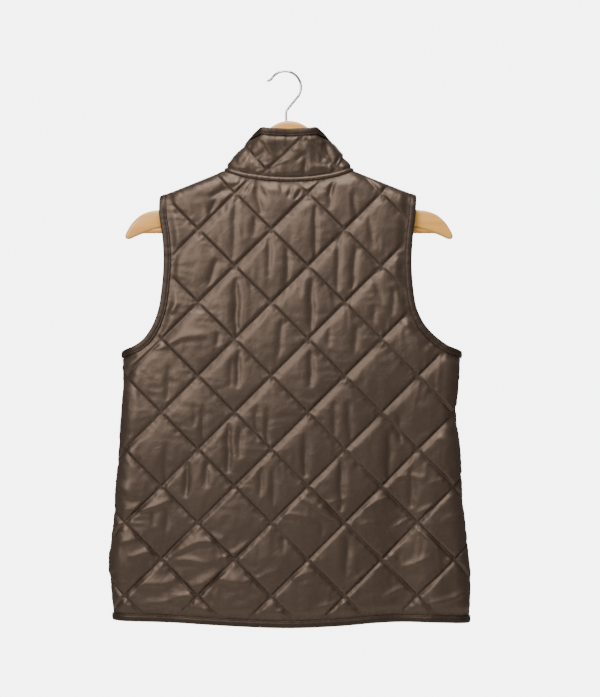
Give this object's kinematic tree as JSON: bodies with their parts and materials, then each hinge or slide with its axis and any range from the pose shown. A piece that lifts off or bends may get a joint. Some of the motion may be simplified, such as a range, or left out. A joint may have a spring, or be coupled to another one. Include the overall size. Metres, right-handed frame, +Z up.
{
  "type": "diamond-quilted sleeveless vest on a wooden hanger",
  "caption": "Dark brown diamond-quilted sleeveless vest with a stand collar and a centre-front zip, hung by its shoulders on a wooden hanger with a round bar and a wire hook.",
  "frame": {"origin": "the inside top of the hanger's wire hook, where a rail touches it", "axes": "+Z up, +Y out of the vest's front with the zip, +X to the viewer's right when looking at the vest's back"},
  "size_m": [0.497, 0.1228, 0.7643],
  "materials": {
    "quilted_cloth": "shiny plain-woven polyester, quilted over thin wadding",
    "binding_tape": "folded strip of the same cloth, stitched",
    "zip_tape": "matte woven tape",
    "zip_teeth": "coil teeth, satin",
    "slider_metal": "dull cast metal",
    "varnished_wood": "light wood under clear satin varnish",
    "chrome_wire": "polished chromed wire"
  },
  "bodies": {
    "vest": {"back_panel": "quilted_cloth", "front_left": "quilted_cloth", "front_right": "quilted_cloth", "collar": "quilted_cloth", "armhole_binding_left": "binding_tape", "armhole_binding_right": "binding_tape", "hem_binding": "binding_tape", "collar_binding": "binding_tape", "neck_piping": "binding_tape", "zip_tape_left": "zip_tape", "zip_tape_right": "zip_tape", "zip_chain": "zip_teeth", "zip_slider": "slider_metal", "hanger_wood": "varnished_wood", "hanger_bar": "varnished_wood", "hanger_hook": "chrome_wire"},
    "zip_pull": {"zip_pull": "slider_metal"}
  },
  "joints": [
    {"name": "pull_hinge", "type": "hinge", "parent": "vest", "child": "zip_pull", "pos_m": [0.0055, 0.06924, -0.1759], "axis": [1, 0, 0], "range_deg": [-30, 115]}
  ]
}
